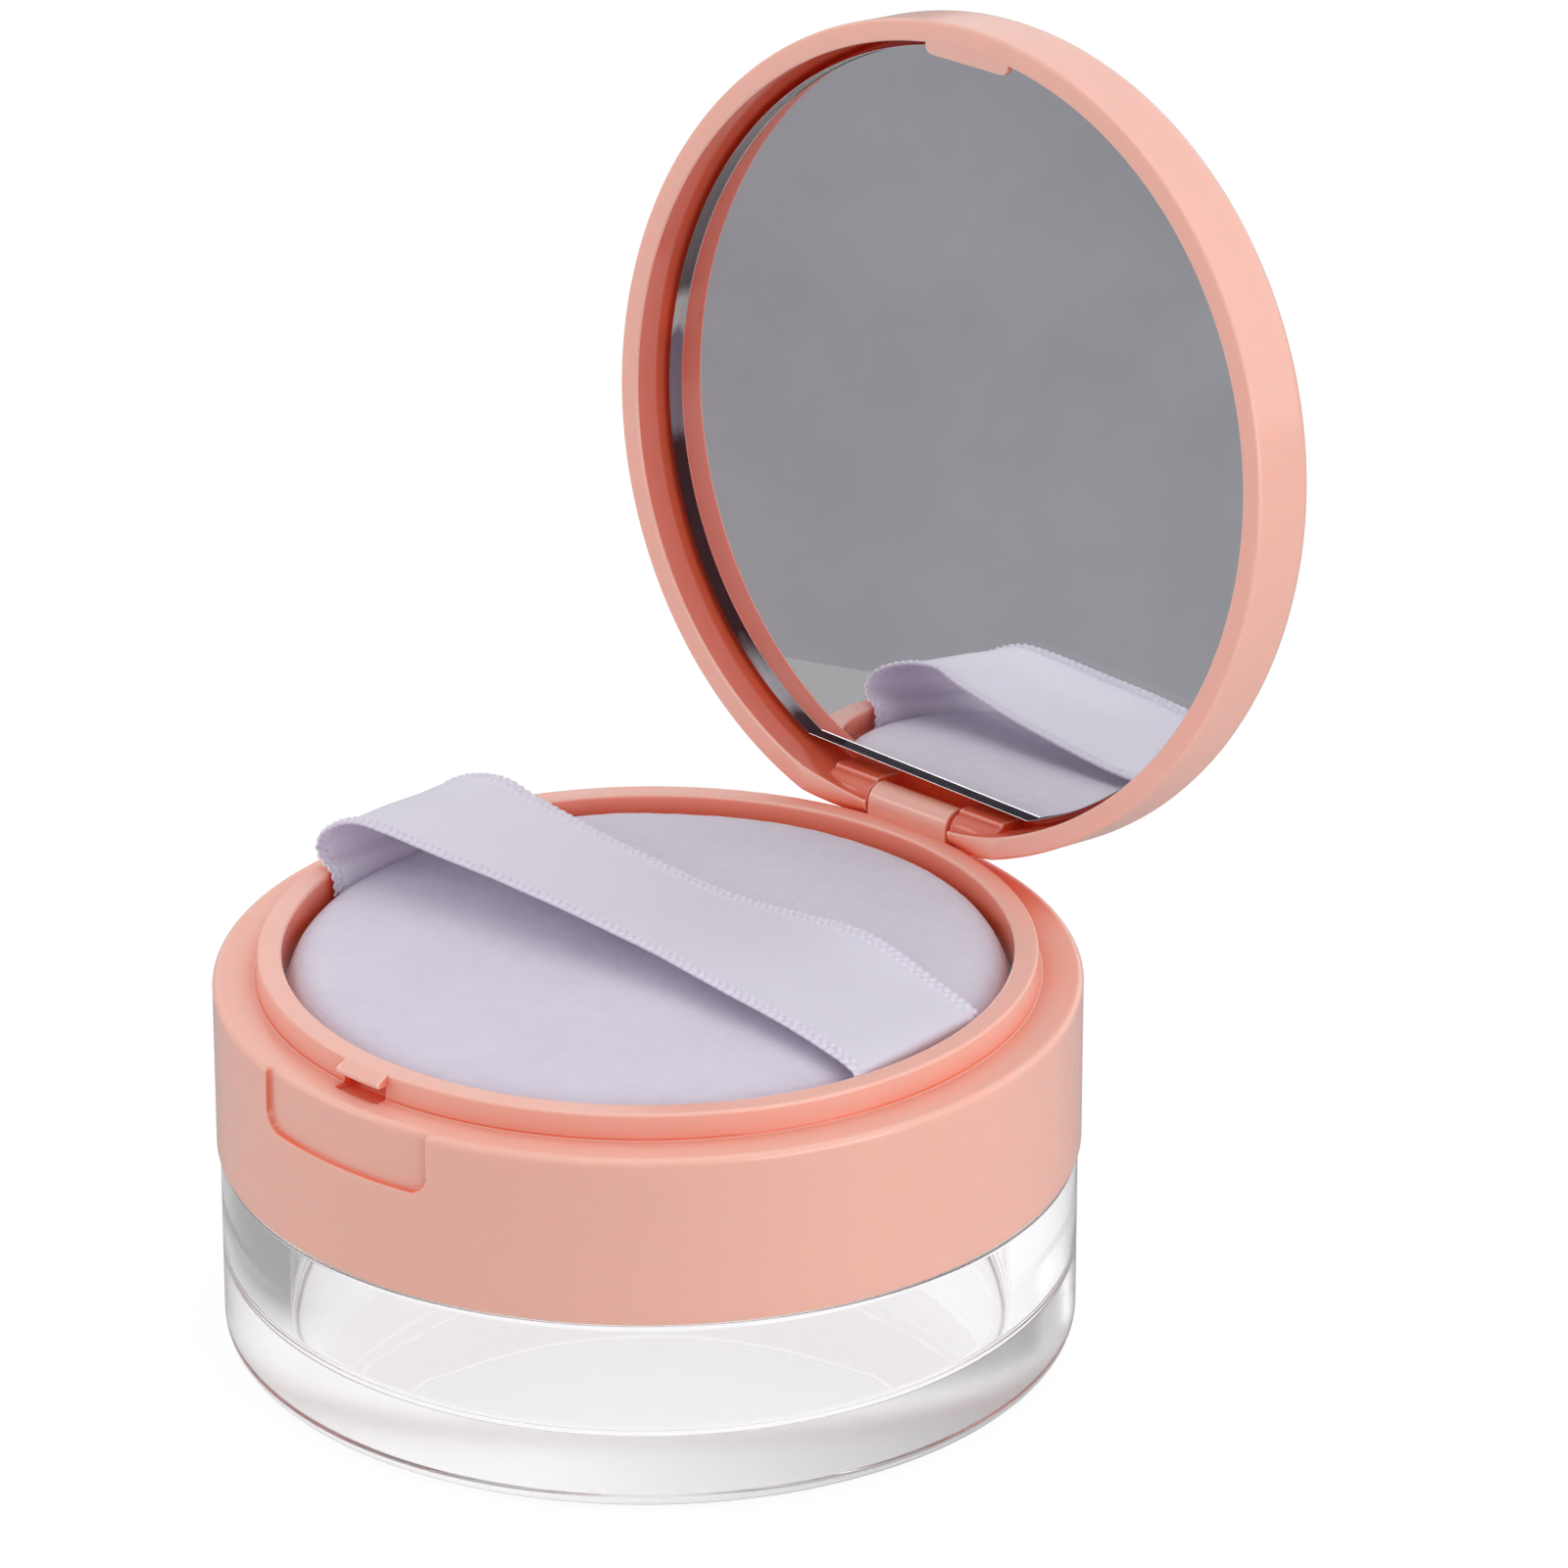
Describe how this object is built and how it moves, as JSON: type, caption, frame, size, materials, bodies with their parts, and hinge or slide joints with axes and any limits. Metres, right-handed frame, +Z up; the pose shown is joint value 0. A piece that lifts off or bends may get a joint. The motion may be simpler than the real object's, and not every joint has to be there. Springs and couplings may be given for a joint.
{
  "type": "powder compact",
  "caption": "Round loose-powder compact: clear jar, screw-on coral head with sifter and puff, and a hinged mirror lid, standing open.",
  "frame": {"origin": "centre of the jar's flat base", "axes": "+Z up along the jar's axis, -Y towards the thumb recess at the front, +Y towards the hinge, +X to the right"},
  "size_m": [0.0742, 0.0842, 0.1067],
  "materials": {
    "clear_jar": "clear, polished, thick-walled",
    "coral_plastic": "glossy, slightly translucent coral pink",
    "white_plastic": "natural white moulded plastic",
    "seal_foam": "soft white closed-cell foam",
    "pin_steel": "drawn steel wire",
    "puff_velour": "white short-pile velour",
    "puff_foam": "soft open-cell foam",
    "ribbon_satin": "white satin with picot edges",
    "mirror_glass": "back-silvered glass with ground edges"
  },
  "bodies": {
    "jar": {"jar": "clear_jar"},
    "seal": {"sealing_ring": "seal_foam"},
    "head": {"collar": "coral_plastic", "sifter_tray": "white_plastic", "hinge_pin": "pin_steel"},
    "lid": {"lid_shell": "coral_plastic", "mirror_pad": "seal_foam", "mirror": "mirror_glass"},
    "puff": {"puff_cover": "puff_velour", "puff_foam": "puff_foam", "puff_back": "puff_velour", "puff_ribbon": "ribbon_satin"}
  },
  "joints": [
    {"name": "head_lift", "type": "slide", "parent": "jar", "child": "seal", "axis": [0, 0, 1], "range_m": [0, 0.004]},
    {"name": "head_turn", "type": "hinge", "parent": "seal", "child": "head", "pos_m": [0, 0, 0.0225], "axis": [0, 0, 1], "range_deg": [0, 360]},
    {"name": "lid_hinge", "type": "hinge", "parent": "head", "child": "lid", "pos_m": [0, 0.03435, 0.0358], "axis": [-1, 0, 0], "range_deg": [-97, 0], "deforming": ["puff_ribbon"]},
    {"name": "puff_lift", "type": "slide", "parent": "head", "child": "puff", "axis": [0, 0, 1], "range_m": [0, 0.03]}
  ],
  "couplings": [
    {"joint": "head_lift", "follows": "head_turn", "m_per_rad": 0.0006366}
  ]
}
